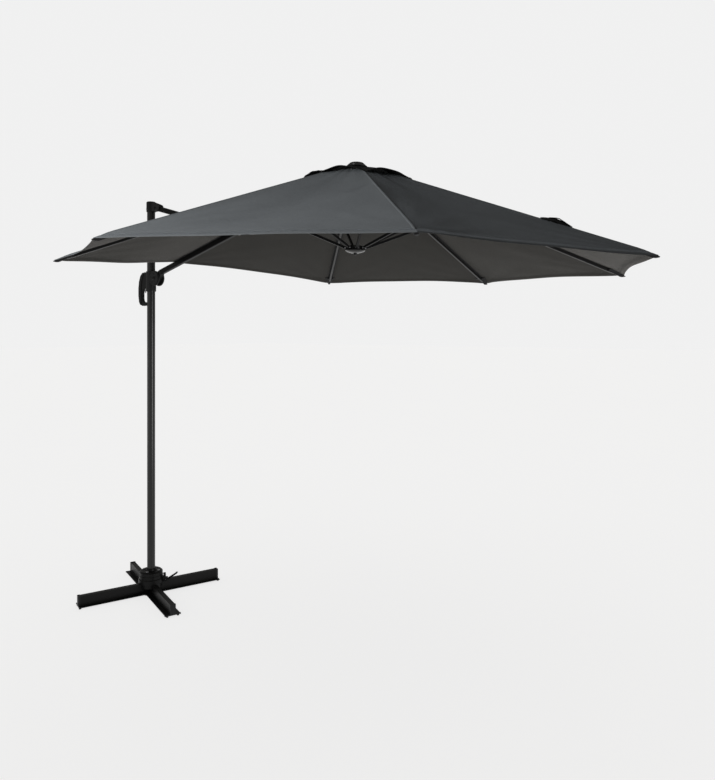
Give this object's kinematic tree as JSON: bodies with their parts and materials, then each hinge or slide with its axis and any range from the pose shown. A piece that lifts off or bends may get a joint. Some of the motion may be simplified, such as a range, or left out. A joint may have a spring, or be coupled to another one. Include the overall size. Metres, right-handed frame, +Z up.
{
  "type": "cantilever parasol",
  "caption": "Cantilever parasol with a cross base, a swivelling mast, a sliding grip that raises the boom, a tie strut and a folding canopy of cloth over ribs.",
  "frame": {"origin": "on the floor, under the mast's axis, at the centre of the cross base", "axes": "+X from the mast towards the canopy, +Z up, +Y to the left of someone who stands at the mast and looks towards the canopy"},
  "size_m": [3.5056, 2.84, 2.5106],
  "materials": {
    "frame": "satin",
    "steel": "satin",
    "plastic": "matte",
    "pins": "satin",
    "gloss": "gloss",
    "cloth": "matte",
    "webbing": "matte"
  },
  "bodies": {
    "base": {"base_beam_long": "steel", "base_beam_cross": "steel", "leg_cap_1": "plastic", "leg_cap_2": "plastic", "leg_cap_3": "plastic", "leg_cap_4": "plastic", "base_drum": "steel", "centre_foot": "plastic", "lock_housing": "plastic", "pedal_pin": "pins", "lock_knob": "plastic"},
    "pedal": {"foot_pedal": "steel"},
    "mast": {"turntable": "steel", "mast_tube": "steel", "mast_cap": "plastic", "tie_pin_upper": "pins"},
    "tie": {"tie_eye": "plastic", "tie_tube": "frame", "tie_fork": "plastic"},
    "boom": {"boom_tube": "frame", "boom_boot": "plastic", "boom_knuckle": "plastic", "tie_saddle": "pins", "tie_pin_lower": "pins", "boom_lug": "plastic", "gore_0": "cloth"},
    "slider": {"slider_sleeve": "plastic", "pivot_disc_left": "plastic", "pivot_disc_right": "plastic", "boom_pin": "pins", "grip": "plastic"},
    "lever": {"release_lever": "pins"},
    "hub": {"top_hub": "plastic", "top_cap": "plastic"},
    "runner": {"runner_body": "plastic", "runner_dish": "gloss", "runner_knob": "plastic"},
    "arm_1": {"rib_1": "frame", "gore_1": "cloth"},
    "arm_2": {"rib_2": "frame", "gore_2": "cloth"},
    "arm_3": {"rib_3": "frame", "gore_3": "cloth"},
    "arm_4": {"rib_4": "frame", "gore_4": "cloth", "closing_strap": "webbing"},
    "arm_5": {"rib_5": "frame", "gore_5": "cloth"},
    "arm_6": {"rib_6": "frame", "gore_6": "cloth"},
    "arm_7": {"rib_7": "frame", "gore_7": "cloth"},
    "strut_0": {"stretcher_0": "frame"},
    "strut_1": {"stretcher_1": "frame"},
    "strut_2": {"stretcher_2": "frame"},
    "strut_3": {"stretcher_3": "frame"},
    "strut_4": {"stretcher_4": "frame"},
    "strut_5": {"stretcher_5": "frame"},
    "strut_6": {"stretcher_6": "frame"},
    "strut_7": {"stretcher_7": "frame"}
  },
  "joints": [
    {"name": "swivel", "type": "hinge", "parent": "base", "child": "mast", "pos_m": [0, 0, 0.11815], "axis": [0, 0, 1], "continuous": true},
    {"name": "fold", "type": "hinge", "parent": "mast", "child": "tie", "pos_m": [0.06, 0, 2.458], "axis": [0, 1, 0], "range_deg": [0, 64], "deforming": ["gore_0", "gore_1", "gore_2", "gore_3", "gore_4", "gore_5", "gore_6", "gore_7"]},
    {"name": "boom_on_tie", "type": "hinge", "parent": "tie", "child": "boom", "pos_m": [0.83925, 0, 2.2345], "axis": [0, 1, 0], "range_deg": [-128, 0]},
    {"name": "slider_on_boom", "type": "hinge", "parent": "boom", "child": "slider", "pos_m": [0.06, 0, 2.011], "axis": [0, 1, 0], "range_deg": [0, 64]},
    {"name": "hub_on_boom", "type": "hinge", "parent": "boom", "child": "hub", "pos_m": [1.61101, 0, 2.47305], "axis": [0, 1, 0], "range_deg": [0, 64]},
    {"name": "rib_1_pivot", "type": "hinge", "parent": "hub", "child": "arm_1", "pos_m": [1.62565, -0.03536, 2.47274], "axis": [0.707, -0.7071, -0.0148], "range_deg": [0, 64]},
    {"name": "rib_2_pivot", "type": "hinge", "parent": "hub", "child": "arm_2", "pos_m": [1.661, -0.05, 2.472], "axis": [0.9998, 0, -0.0209], "range_deg": [0, 64]},
    {"name": "rib_3_pivot", "type": "hinge", "parent": "hub", "child": "arm_3", "pos_m": [1.69635, -0.03536, 2.47126], "axis": [0.707, 0.7071, -0.0148], "range_deg": [0, 64]},
    {"name": "rib_4_pivot", "type": "hinge", "parent": "hub", "child": "arm_4", "pos_m": [1.71099, 0, 2.47095], "axis": [0, 1, 0], "range_deg": [0, 64]},
    {"name": "rib_5_pivot", "type": "hinge", "parent": "hub", "child": "arm_5", "pos_m": [1.69635, 0.03536, 2.47126], "axis": [-0.707, 0.7071, 0.0148], "range_deg": [0, 64]},
    {"name": "rib_6_pivot", "type": "hinge", "parent": "hub", "child": "arm_6", "pos_m": [1.661, 0.05, 2.472], "axis": [-0.9998, 0, 0.0209], "range_deg": [0, 64]},
    {"name": "rib_7_pivot", "type": "hinge", "parent": "hub", "child": "arm_7", "pos_m": [1.62565, 0.03536, 2.47274], "axis": [-0.707, -0.7071, 0.0148], "range_deg": [0, 64]},
    {"name": "stretcher_0_pivot", "type": "hinge", "parent": "boom", "child": "strut_0", "pos_m": [1.11283, 0, 2.29218], "axis": [0, -1, 0], "range_deg": [-128, 0]},
    {"name": "stretcher_1_pivot", "type": "hinge", "parent": "arm_1", "child": "strut_1", "pos_m": [1.27221, -0.38487, 2.28884], "axis": [0.707, -0.7071, -0.0148], "range_deg": [-128, 0]},
    {"name": "stretcher_2_pivot", "type": "hinge", "parent": "arm_2", "child": "strut_2", "pos_m": [1.65699, -0.54429, 2.28078], "axis": [0.9998, 0, -0.0209], "range_deg": [-128, 0]},
    {"name": "stretcher_3_pivot", "type": "hinge", "parent": "arm_3", "child": "strut_3", "pos_m": [2.04178, -0.38487, 2.27272], "axis": [0.707, 0.7071, -0.0148], "range_deg": [-128, 0]},
    {"name": "stretcher_4_pivot", "type": "hinge", "parent": "arm_4", "child": "strut_4", "pos_m": [2.20116, 0, 2.26938], "axis": [0, 1, 0], "range_deg": [-128, 0]},
    {"name": "stretcher_5_pivot", "type": "hinge", "parent": "arm_5", "child": "strut_5", "pos_m": [2.04178, 0.38487, 2.27272], "axis": [-0.707, 0.7071, 0.0148], "range_deg": [-128, 0]},
    {"name": "stretcher_6_pivot", "type": "hinge", "parent": "arm_6", "child": "strut_6", "pos_m": [1.65699, 0.54429, 2.28078], "axis": [-0.9998, 0, 0.0209], "range_deg": [-128, 0]},
    {"name": "stretcher_7_pivot", "type": "hinge", "parent": "arm_7", "child": "strut_7", "pos_m": [1.27221, 0.38487, 2.28884], "axis": [-0.707, -0.7071, 0.0148], "range_deg": [-128, 0]},
    {"name": "runner_on_stretcher", "type": "hinge", "parent": "strut_0", "child": "runner", "pos_m": [1.603, 0, 2.09061], "axis": [0, -1, 0], "range_deg": [0, 64]},
    {"name": "pedal_press", "type": "hinge", "parent": "base", "child": "pedal", "pos_m": [0.07723, 0.06033, 0.088], "axis": [-0.6157, 0.788, 0], "range_deg": [0, 12], "stiffness_Nm_per_rad": 12, "springref_deg": -6.88},
    {"name": "lever_squeeze", "type": "hinge", "parent": "slider", "child": "lever", "pos_m": [-0.057, 0, 1.998], "axis": [0, 1, 0], "range_deg": [0, 8], "stiffness_Nm_per_rad": 4, "springref_deg": -8.59}
  ],
  "couplings": [
    {"joint": "boom_on_tie", "follows": "fold", "ratio": -2},
    {"joint": "slider_on_boom", "follows": "fold", "ratio": 1},
    {"joint": "hub_on_boom", "follows": "fold", "ratio": 1},
    {"joint": "rib_1_pivot", "follows": "fold", "ratio": 1},
    {"joint": "rib_2_pivot", "follows": "fold", "ratio": 1},
    {"joint": "rib_3_pivot", "follows": "fold", "ratio": 1},
    {"joint": "rib_4_pivot", "follows": "fold", "ratio": 1},
    {"joint": "rib_5_pivot", "follows": "fold", "ratio": 1},
    {"joint": "rib_6_pivot", "follows": "fold", "ratio": 1},
    {"joint": "rib_7_pivot", "follows": "fold", "ratio": 1},
    {"joint": "stretcher_0_pivot", "follows": "fold", "ratio": -2},
    {"joint": "stretcher_1_pivot", "follows": "fold", "ratio": -2},
    {"joint": "stretcher_2_pivot", "follows": "fold", "ratio": -2},
    {"joint": "stretcher_3_pivot", "follows": "fold", "ratio": -2},
    {"joint": "stretcher_4_pivot", "follows": "fold", "ratio": -2},
    {"joint": "stretcher_5_pivot", "follows": "fold", "ratio": -2},
    {"joint": "stretcher_6_pivot", "follows": "fold", "ratio": -2},
    {"joint": "stretcher_7_pivot", "follows": "fold", "ratio": -2},
    {"joint": "runner_on_stretcher", "follows": "fold", "ratio": 1}
  ]
}
